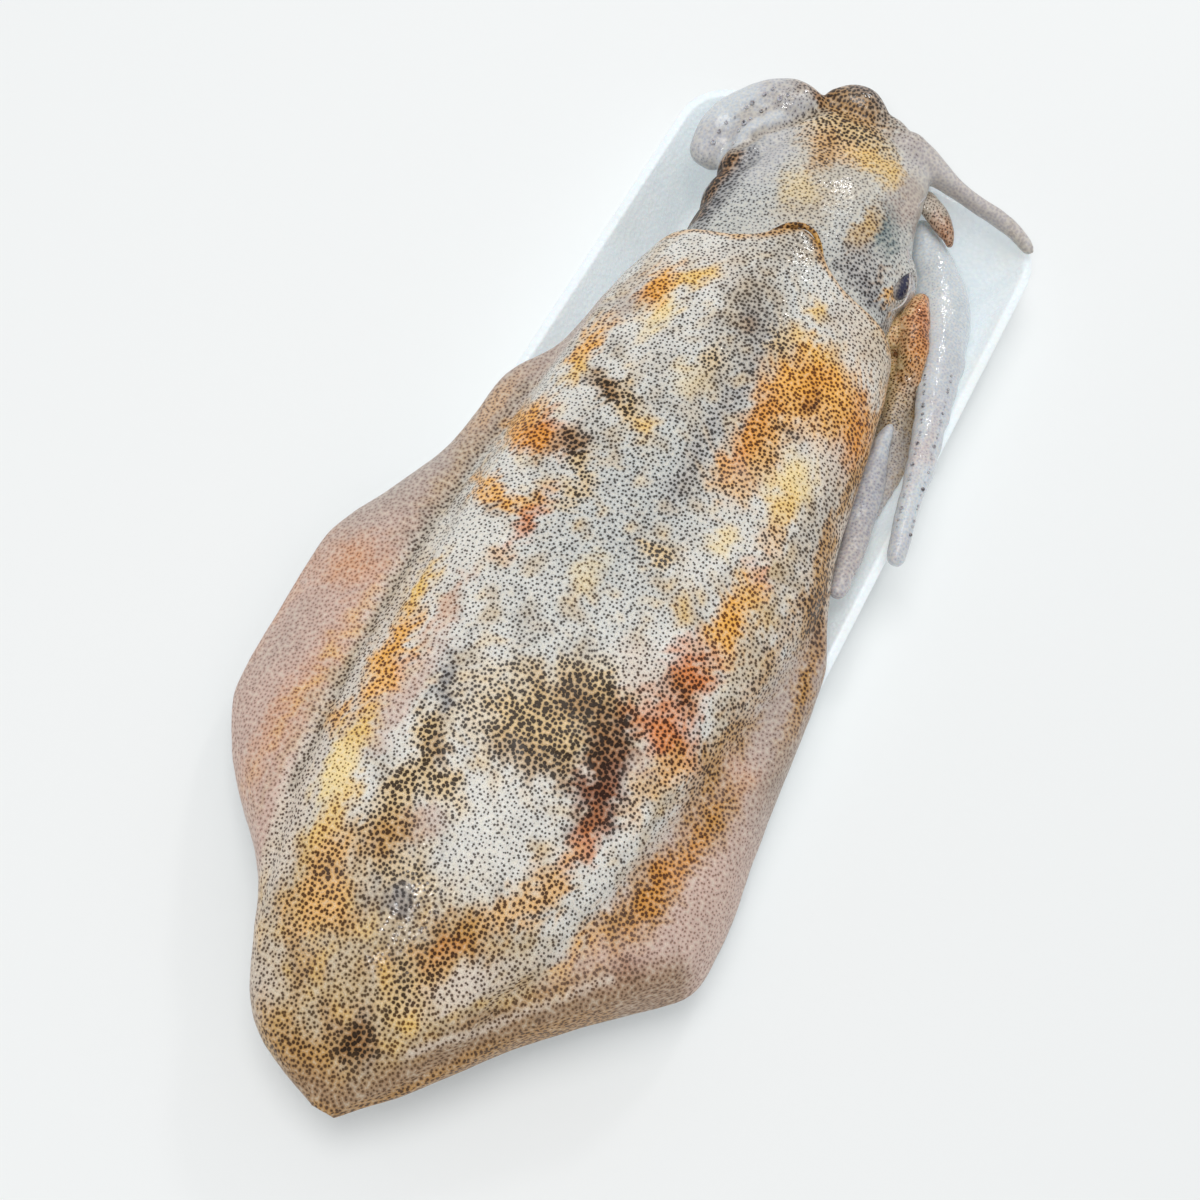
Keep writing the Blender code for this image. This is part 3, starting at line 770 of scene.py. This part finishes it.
head = copied("head", "head_skin")
domes = [
    dome("lid_right", (21.2, 86, 25), (10.4, 12.0, 10.6)),
    dome("lid_left", (-29.2, 87, 25), (10.2, 12.0, 10.6)),
    dome("crown", (-9, 117, 29.5), (22, 15.0, 10.5)),
    dome("crown_right", (8, 119, 27), (12.5, 12.0, 8.5), -20),
    dome("crown_left", (-31, 114, 27), (13, 13, 9), 35),
    dome("temple_left", (-32.5, 101, 25.5), (7.5, 11, 9.5), 8),
    dome("cleft_right", (0, 130.5, 30), (9, 6.5, 6.5)),
]
FUSED_ARMS = {"arm_left_dorsal": 1.1, "arm_right_dorsal": 0.9, "arm_far_right": 0.1}
roots = []
for node, swell in FUSED_ARMS.items():
    arm = copied(node, node + "_root")
    rounded(arm, 2)
    move_points(arm, points_of(arm) + normals_of(arm) * swell)
    if node == "arm_far_right":
        grab(arm, (24, 124), 14, (0, 4.0, 0), (0, -1))
        grab(arm, (42, 121), 14, (0, 2.6, 0), (0, -1))
    roots.append(arm)
head = joined("head_skin", [head, *domes, *roots])
apply(head, "REMESH", mode="VOXEL", voxel_size=0.85 * MM)
apply(head, "SMOOTH", factor=0.6, iterations=8)
report(head)

# %% Open the right eye and add folds
opening = dome("lens", (28.0, 84.0, 33.0), (2.5, 7.2, 5.0), 18)
apply(head, "BOOLEAN", operation="DIFFERENCE", object=opening, solver="EXACT")
opening_left = dome("lens_left", (-40.5, 87.0, 25.0), (3.4, 6.0, 3.6), -4)
apply(head, "BOOLEAN", operation="DIFFERENCE", object=opening_left, solver="EXACT")
for cutter in (opening, opening_left):
    bpy.data.objects.remove(cutter)
HEAD_FOLDS = [
    ([(19.5, 116), (19.4, 108), (21, 101), (23.5, 95)], 1.5, 0.9),
    ([(16, 114), (15.5, 104), (17, 96)], 3.0, -0.6),
    ([(-12, 124), (-8, 112), (-7, 98)], 3.0, -0.5),
    ([(24.5, 80), (24.8, 75), (26, 70)], 1.2, 0.8),
    ([(-38, 98), (-32.5, 108), (-25.5, 117), (-18, 125)], 1.8, -1.7),
    ([(-50, 116), (-44, 110), (-42, 103)], 2.6, -0.8),
]
for route, width, lift in HEAD_FOLDS:
    fold(head, route, width, lift)
ripple(head, 9.0, 0.35, 3)
ripple(head, 3.0, 0.10, 4)
smooth(head)
report(head)

# %% Paint the head
coat = Coat(head, "mist")
x, y, _ = coat.places.T
coat.blotches("ash", 0.5, 12, 8, 1.0, -0.5)
HEAD_MARKS = [
    ("ochre", -8, 108, 20, 14, 90, 0.3), ("lilac", -28, 98, 18, 6, 95, 0.55),
    ("teal", -31, 100, 9, 2.6, 97, 0.3), ("tawny", -10, 114, 10, 8, 10, 0.6),
    ("gold", 3, 114, 7, 6, 0, 0.7), ("olive", -12, 119, 9, 4.4, 0, 0.7),
    ("bark", -12, 109, 13, 2.4, 92, 0.6), ("olive", -8, 122, 12, 5, 0, 0.7),
    ("ochre", -9, 86, 10, 8, 90, 0.4), ("yellow", -12, 90, 5, 5, 0, 0.4),
    ("teal", 16, 93, 10, 4, 94, 0.9), ("olive", 10.5, 89, 9, 3.4, 92, 0.6),
    ("gold", 9.5, 87, 6, 2.4, 92, 0.6), ("slate", 19, 71, 10, 3, -14, 0.85),
    ("grey", 14, 77, 9, 6, -35, 0.75), ("mauve", 17, 110, 11, 6, 92, 0.9),
    ("gold", 9, 112, 7, 3, 90, 0.4), ("ash", -27, 77, 12, 8, 90, 0.5),
    ("slate", -34, 74, 10, 3.4, 95, 0.6), ("tawny", 26, 75, 5, 1.4, 82, 0.95),
    ("umber", 21, 78, 6, 1.2, 70, 0.5),
    # the folded arms in front: brown roots, then clear lilac skin
    ("lilac", -44, 112, 14, 12, 60, 0.99), ("lilac", -34, 123, 9, 6, -30, 0.85),
    ("umber", -20, 128, 5, 4, 0, 0.85), ("wine", -26, 129, 5, 4, -20, 0.6),
    ("smoke", -31, 126, 6, 5, -20, 0.5), ("pearl", -46, 116, 10, 7, 60, 0.8),
    ("smoke", -36, 115, 2.4, 9, -40, 0.5), ("smoke", -10, 133, 11, 6, 0, 0.9),
    ("bark", -10, 127, 11, 4, 0, 0.75), ("wine", -13, 137, 7, 2.6, 0, 0.5),
    ("umber", -20, 132, 3, 4, 0, 0.6), ("mauve", 12, 130, 9, 6, -10, 0.8),
    ("lilac", 40, 126, 26, 7, -5, 0.97), ("mauve", 40, 126, 24, 4, -5, 0.5),
    ("smoke", 44, 129, 14, 1.6, -8, 0.5), ("smoke", 52, 121, 5, 2, -30, 0.5),
    ("umber", -8, 134, 9, 4, 0, 0.5), ("slate", -6, 136, 8, 2.4, 0, 0.4),
    ("shade", 10.5, 89, 9, 3.4, 92, 0.35),
]
coat.marks(HEAD_MARKS)
coat.lay("pearl", 0.7 * unit(-coat.normals[:, 2] * 2 - 0.3))
# painted shade: a bluish-grey band and a dark brown to black strip down the head's left edge, where it turns
# away into shadow
coat.stroke("slate", [(-34, 99), (-34, 90), (-34.6, 74)], 4.2, 0.75)
coat.stroke("umber", [(-36.8, 97), (-37.2, 90), (-37.8, 82), (-37.4, 73)], 2.8, 0.9)
coat.stroke("ink", [(-38.6, 93), (-39.0, 86), (-39.0, 80), (-38.4, 72)], 1.9, 0.85)
# painted shade in the groove between the curled left arm and the head
coat.stroke("smoke", [(-37.5, 99), (-32.5, 108), (-25.5, 117), (-19, 124)], 1.3, 0.6)
coat.stroke("pearl", [(-40, 101), (-36, 109), (-30, 117)], 1.6, 0.5)
# painted shade: the head darkens where it goes in under the mantle's front edge
coat.lay("smoke", 0.8 * unit((66 - y) / 6))
print(len(HEAD_MARKS), "head marks")

# %% Clear arms and water on the head
clear_lobe = unit(1.6 - np.hypot(x + 44, y - 114) / 12)
clear_arm = unit((x - 12) / 6) * unit((y - 106) / 8)
coat.size *= 1 - 0.8 * np.maximum(clear_lobe, clear_arm)
coat.water([
    (-4, 98, 4), (-32, 97, 4), (-44, 112, 6), (-40, 106, 5), (-30, 124, 5), (-12, 132, 5), (16, 80, 4),
    (24, 96, 4),
])
coat.dry()
head_finish = skin("head skin", spacing=1.2)
finish_soft(head, head_finish, "head_skin", "head", *FUSED_ARMS)

# %% [markdown]
# ## The eyes
# Under the lids lie two round eyes. Each is a silver ball with a dark blue slit, and the skin over
# it covers all but a lens of it.

# %% Eyes


def eye(name, node, slit):
    ball = copied(node, name)
    rounded(ball, 2)
    coat = Coat(ball, "lilac")
    coat.size[:] = 0.1
    coat.wet[:] = 0.8
    coat.stroke("smoke", slit, 4.4, 0.7)
    coat.stroke("ink", slit, 1.7, 1.0, loose=0.1)
    ink = np.array(linear(34, 36, 66))
    away, _ = distance_to(coat.places, slit)
    navy = unit(1.5 - away / 1.5)[:, None]
    coat.skin += (ink - coat.skin) * navy
    coat.dots += (ink - coat.dots) * navy
    coat.dry()
    return ball


eye_finish = skin("eye", spacing=0.8, gloss=0.2, glow=0.05, coat=0.2, fine=0.1, depth=0.03)
eye_right = eye("eyeball_right", "eye_right", [(26.0, 87.5, 33.2), (28.4, 80.6, 31.6)])
eye_left = eye("eyeball_left", "eye_left", [(-40.0, 89.5, 25.5), (-40.0, 84.0, 25.5)])
finish_soft(eye_right, eye_finish, "eye", "eye_right")
finish_soft(eye_left, eye_finish, "eye", "eye_left")

# %% [markdown]
# A pale rim of skin stands along the outer side of the right eye and hooks under it. It is a thin
# tube along a drawn curve, turned into a mesh and fused with nothing: it simply lies on the head.

# %% Lid rim
RIM = [
    (20.4, 117, 31), (19.4, 112, 32.6), (19.4, 106.5, 33.4), (20.2, 101.2, 33.8), (22.2, 96.4, 33.8),
    (25.2, 91.3, 33.4), (28.6, 86.3, 32.2), (30.2, 81, 31.4), (29.6, 76.5, 32.2), (27.6, 73, 33.8),
]
rim = tube("lid_rim", RIM, 0.36)
smooth(rim)
coat = Coat(rim, "lilac")
coat.lay("ochre", np.full(len(coat.places), 0.2))
coat.dry()
flesh_finish = skin("pale flesh", spacing=1.0, gloss=0.34, glow=0.35, coat=0.15, fine=0.3)
finish_soft(rim, flesh_finish, "head_skin")

# %% [markdown]
# ## The arms
# Short arms fold back around the crown and the long pale tentacle lies along the tray's right wall.
# Each is a measured tube. It is rounded, swelled or thinned a little, shaped by a short function of
# its own, rippled and painted. Most of what sets one arm apart from the next is colour: lilac and
# clear, brown, orange, olive or bluish white.

# %% The shape of each arm


def shape_brown(arm):
    """Shifted, and drawn out at both ends."""
    move_points(arm, points_of(arm) + (-1.0, 1.6, 0.5))
    grab(arm, (22, 122), 6, (-3.4, 0.4, 0))
    grab(arm, (32, 111), 5, (0.8, 2.6, 0))


def shape_lilac(arm):
    """Flattened, and narrowed towards the head."""
    move_points(arm, points_of(arm) * (1, 1, 0.7) + (-3.6, -0.6, 7.4))
    grab(arm, (49, 10), 20, (1.6, 0, 0), (1, 0))
    places = points_of(arm)
    pinch = unit((places[:, 1] - 28) / 16) * 0.55
    places[:, 0] += (43.6 - places[:, 0]) * pinch
    places[:, 1] += pinch * 2
    move_points(arm, places)


def shape_tentacle(arm):
    """Tucked under the head at its root, and widened along its outer side."""
    grab(arm, (28, 113), 10, (-5.5, 6.5, 2.0))
    for station in (74, 64, 54, 44, 34):
        grab(arm, (52 + (74 - station) * 0.1, station), 7, (2.1, 0.6, -0.4), (1, 0.4))


# %% Arms beside the head
ARMS = {
    # piece: node, slot, ground, shaping, swell and ripple in mm, marks
    "arm_right_brown_skin": ("arm_right_brown", "arm_brown", "smoke", shape_brown, -0.3, 0.2, [
        ("bare", 24, 121, 4, 4, 0, 0.7), ("rust", 31, 114, 6, 4, -40, 0.45)]),
    "arm_right_lilac_skin": ("arm_right_lilac", "arm_lilac", "lilac", shape_lilac, 1.2, 0.35, [
        ("pearl", 45, 40, 4, 6, 0, 0.8), ("slate", 47, 24, 14, 2.4, 95, 0.3),
        ("mauve", 50, 0, 12, 5, 95, 0.5)]),
    "tentacle_right_skin": ("tentacle_right", "pale_flesh", "pearl", shape_tentacle, 0.5, 0.3, [
        ("white", 38, 84, 12, 4, 95, 0.35), ("teal", 45, 90, 14, 3, 105, 0.15),
        ("lilac", 53, 56, 24, 5, 98, 0.6), ("pink", 55, 40, 14, 2, 98, 0.35),
        ("smoke", 33, 100, 8, 3, 110, 0.25), ("lilac", 61, 10, 6, 4, 98, 0.6)]),
}
ARM_FINISH = {
    "arm_brown": skin("brown arm", spacing=0.9, glow=0.15, gloss=0.28),
    "arm_lilac": skin("lilac arm", spacing=1.1, glow=0.3, gloss=0.34, coat=0.15),
    "arm_orange": skin("orange arm", spacing=0.9, glow=0.15, gloss=0.34, coat=0.15, depth=0.34),
    "pale_flesh": flesh_finish,
}
arms = {}
for name, (node, slot_name, ground, shaping, swell, height, marks) in ARMS.items():
    arm = copied(node, name)
    rounded(arm, 3)
    move_points(arm, points_of(arm) + normals_of(arm) * swell)
    shaping(arm)
    ripple(arm, 6.0, height, 5)
    ripple(arm, 2.4, height * 0.5, 6)
    coat = Coat(arm, ground)
    coat.size *= 0.6
    coat.wet[:] = 0.5
    coat.marks(marks, edge=0.7)
    coat.dry()
    finish_soft(arm, ARM_FINISH[slot_name], slot_name, node)
    arms[name] = arm

# %% [markdown]
# Between the mantle and the pale tentacle two more arms, one orange and one olive, lie on a slack
# web of clear skin. All three touch all the way along, so they are fused by a remesh, as the crown
# is, and told apart by paint.

# %% The web and the arms that lie on it
WEB = [(31, 92, 14), (35, 84, 14), (40, 70, 15), (44, 56, 16), (47, 42, 16.5), (49, 30, 17), (50.5, 18, 17)]
web = tube("web", WEB, 6.5)
places = points_of(web)
_, along = distance_to(places, WEB)
middle_z = np.interp(along, np.linspace(0, 1, len(WEB)), [place[2] for place in WEB])
places[:, 2] = middle_z + (places[:, 2] - middle_z) * 0.45
move_points(web, places)
side_arms = [web]
for node, swell in (("arm_right_orange", 0.9), ("arm_right_olive", 1.3)):
    arm = copied(node, node + "_root")
    rounded(arm, 2)
    move_points(arm, points_of(arm) + normals_of(arm) * swell)
    if node == "arm_right_orange":
        move_points(arm, points_of(arm) + (-1.4, 0.6, 0))
        grab(arm, (43, 55), 11, (0, 0, -8))
    side_arms.append(arm)
side_arms.append(dome("fold", (32, 76, 20), (4.5, 13, 7), 12))
web = joined("arms_right_skin", side_arms)
apply(web, "REMESH", mode="VOXEL", voxel_size=0.6 * MM)
apply(web, "SMOOTH", factor=0.6, iterations=8)
smooth(web)
ripple(web, 5.0, 0.7, 12)
ripple(web, 2.0, 0.25, 17)
coat = Coat(web, "ochre")
coat.wet[:] = 0.3
coat.size[:] = 0.22
WEB_MARKS = [
    ("yellow", 33, 74, 4, 16, 10, 0.6), ("olive", 33, 80, 4, 8, 10, 0.4),
    ("salmon", 38, 78, 6, 12, 12, 0.9), ("rust", 37.5, 78, 4.5, 11, 12, 0.65),
    ("wine", 39, 76, 2.4, 4, 20, 0.4), ("orange", 42, 64, 3.4, 8, 12, 0.6),
    ("bare", 44, 58, 2, 6, 12, 0.5), ("olive", 38, 62, 2, 10, 14, 0.4),
    ("smoke", 45, 46, 5, 12, 10, 0.75), ("lilac", 50, 24, 20, 6, 95, 0.85),
]
coat.marks(WEB_MARKS, edge=0.7)
coat.dry()
finish_soft(web, ARM_FINISH["arm_orange"], "arm_orange", "arm_right_orange", "arm_right_olive")

# %% [markdown]
# ## Suckers
# Suckers run in two rows along the thin end of the tentacle and stud the inner side of the curled
# left arm. One sucker is a low ring with a sunken middle. It is modelled once, by insetting and
# pushing a small disc, and copied along each row, with every copy laid on the surface beneath it.

# %% One sucker
deselect()
bpy.ops.mesh.primitive_cylinder_add(vertices=12, radius=0.5 * MM, depth=0.5 * MM, location=(0, 0, 0))
sucker = bpy.context.object
sucker.name = "sucker"
only(sucker)
bpy.ops.object.mode_set(mode="EDIT")
bpy.ops.mesh.select_mode(type="FACE")
bpy.ops.mesh.select_all(action="DESELECT")
done()
top_face = max(sucker.data.polygons, key=lambda face: face.center.z)
top_face.select = True
bpy.ops.object.mode_set(mode="EDIT")
bpy.ops.mesh.inset(thickness=0.16 * MM, depth=0.12 * MM)
bpy.ops.mesh.inset(thickness=0.10 * MM, depth=-0.2 * MM)
done()
report(sucker)


def place_suckers(name, spots, sizes):
    """Copies of the sucker, each on its spot and facing its own way."""
    copies = []
    for (place, facing), size in zip(spots, sizes):
        copy = bpy.data.objects.new("one_sucker", sucker.data.copy())
        bpy.context.scene.collection.objects.link(copy)
        turn = Vector(facing).to_track_quat("Z", "Y").to_matrix().to_4x4()
        copy.data.transform(Matrix.Translation(Vector(place) * MM) @ turn @ Matrix.Scale(size, 4))
        copies.append(copy)
    piece = joined(name, copies)
    smooth(piece)
    return piece


def spots_on(piece, route, count, height=0.1):
    """Evenly spaced places along a route in mm, dropped on the nearest surface of a piece."""
    route = np.array(route, float)
    lengths = np.concatenate([[0], np.cumsum(np.linalg.norm(np.diff(route, axis=0), axis=1))])
    spots = []
    for index, step in enumerate(np.linspace(0, lengths[-1], count)):
        step += 0.7 * math.sin(index * 3.7)
        target = Vector([np.interp(step, lengths, route[:, axis]) for axis in range(3)]) * MM
        _, place, facing, _ = piece.closest_point_on_mesh(target)
        spots.append(((place + facing * height * MM) / MM, facing))
    return spots


# %% Suckers on the tentacle and on the curled arm
tentacle = arms["tentacle_right_skin"]
INNER_ROUTE = [(41, 74, 24), (46, 60, 26), (50.8, 46, 29), (54, 30, 30), (57, 14, 29.5)]
OUTER_ROUTE = [(53, 70, 26), (55, 58, 27), (57.5, 42, 29), (60.5, 26, 30), (63, 14, 29)]
tentacle_rows = spots_on(tentacle, INNER_ROUTE, 30) + spots_on(tentacle, OUTER_ROUTE, 24)
curl_rows = spots_on(head, [(-31, 121, 40), (-36, 115, 38), (-40, 108, 34), (-42, 101, 30)], 9)
curl_rows += spots_on(head, [(-36, 122, 38), (-40.5, 115, 35), (-44, 108, 32), (-45, 102, 29)], 8)
sizes = [0.75 + 0.4 * math.sin(index * 2.1) * math.sin(index * 0.9) for index in range(80)]
for name, spots, scale, slot_name in (
    ("suckers_tentacle", tentacle_rows, 1.0, "pale_flesh"),
    ("suckers_curl", curl_rows, 1.6, "arm_lilac"),
):
    row = place_suckers(name, spots, [size * scale for size in sizes])
    coat = Coat(row, "lilac")
    coat.lay("slate", np.minimum(unit(noise_at(coat.places, 2.5, 9) * 2), 0.8))
    coat.dry()
    finish_soft(row, ARM_FINISH[slot_name], slot_name)
bpy.data.objects.remove(sucker)

# %% [markdown]
# ## The foam tray
# The tray is pressed from white foam: a thin dish with rounded corners, sloping walls and a lip.
# Its measured shape is right, so a merged copy only needs its edges rounded. The material does the
# rest: tiny fused beads, a faint warm tint in places, water that makes some of it shine, and a
# painted glow: a faint emission that brightens the foam in place of the light that thin foam lets
# through.

# %% Tray
tray = copied("tray", "foam_tray")
apply(tray, "BEVEL", width=0.7 * MM, segments=3, limit_method="ANGLE", angle_limit=math.radians(40))
only(tray)
bpy.ops.object.shade_smooth_by_angle(angle=math.radians(45))
foam = Recipe("wet foam")
bead = foam.cells(1.5)
water = foam.times(foam.minus(foam.noise(7.0, 3.0, 0.6), 0.42), 5.0, clamp=True)
tint = foam.times(foam.minus(foam.noise(26.0, 3.0, 0.55), 0.45), 1.6, clamp=True)
colour = foam.mix(foam.times(bead, 0.35), linear(222, 228, 230), linear(190, 200, 208))
colour = foam.mix(tint, colour, linear(212, 212, 200))
colour = foam.mix(foam.times(water, 0.25), colour, linear(204, 216, 224))
foam.set(Base_Color=colour, Coat_Weight=0.4, Coat_Roughness=0.08)
foam.set(Subsurface_Weight=0.15, Subsurface_Scale=3 * MM)
# painted light: a faint emission makes the foam glow, standing in for the light that passes through thin foam
foam.set(Emission_Color=(0.84, 0.91, 0.94), Emission_Strength=0.27)
foam.set(Roughness=foam.minus(0.62, foam.times(water, 0.4)))
foam.bump(foam.plus(bead, foam.times(foam.noise(0.8, 3.0), 0.8)), 0.18)
finish_soft(tray, foam.material, "foam", "tray")

# %% [markdown]
# ## Floor, light and camera
# The floor is plain and pale. Soft light comes from all round, with one large window of light from
# the upper left. Two small bright lamps, one beyond the head and one beyond the tail, give the wet
# skin its sparkle. The camera looks down steeply from beside the tail and is rolled a little, so
# that the squid lies across the picture.

# %% Floor
deselect()
bpy.ops.mesh.primitive_plane_add(size=6.0, location=(0, 0, 0))
floor = bpy.context.object
floor.name = "floor"
floor_finish = Recipe("pale floor")
floor_finish.set(Base_Color=linear(243, 244, 243), Roughness=0.9, Specular_IOR_Level=0.1)
floor.data.materials.append(floor_finish.material)

# %% Lights
scene = bpy.context.scene
scene.view_settings.view_transform = "Standard"
world = bpy.data.worlds.new("soft room")
scene.world = world
world.use_nodes = True
world.node_tree.nodes["Background"].inputs["Color"].default_value = (0.96, 0.98, 1.0, 1)
world.node_tree.nodes["Background"].inputs["Strength"].default_value = 0.585


def lamp(name, place, aim, size, power):
    light = bpy.data.lights.new(name, "AREA")
    light.shape = "DISK"
    light.size = size
    light.energy = power
    holder = bpy.data.objects.new(name, light)
    scene.collection.objects.link(holder)
    direction = Vector(aim) - Vector(place)
    turn = direction.to_track_quat("-Z", "Y").to_matrix().to_4x4()
    holder.matrix_world = Matrix.Translation(place) @ turn


lamp("window", (-0.3, 0.3, 1.9), (0, -0.05, 0.02), 1.2, 12.5)
lamp("sparkle_head", (-0.02, 0.78, 0.60), (0, 0.05, 0.02), 0.10, 0.8)
lamp("sparkle_tail", (-0.02, -0.53, 0.86), (0, -0.1, 0.02), 0.12, 1.0)
print("three lamps and a soft room")

# %% Camera
camera_data = bpy.data.cameras.new("camera")
camera_data.lens = 45
camera_data.sensor_width = 36
camera = bpy.data.objects.new("camera", camera_data)
scene.collection.objects.link(camera)
CAMERA_PLACE = Vector((0.0359, -0.1841, 0.4060))
CAMERA_AIM = Vector((-0.0034, -0.0472, 0.0300))
ROLL = math.radians(13.3)
look = (CAMERA_AIM - CAMERA_PLACE).to_track_quat("-Z", "Y").to_matrix().to_4x4()
camera.matrix_world = Matrix.Translation(CAMERA_PLACE) @ look @ Matrix.Rotation(ROLL, 4, "Z")
scene.camera = camera
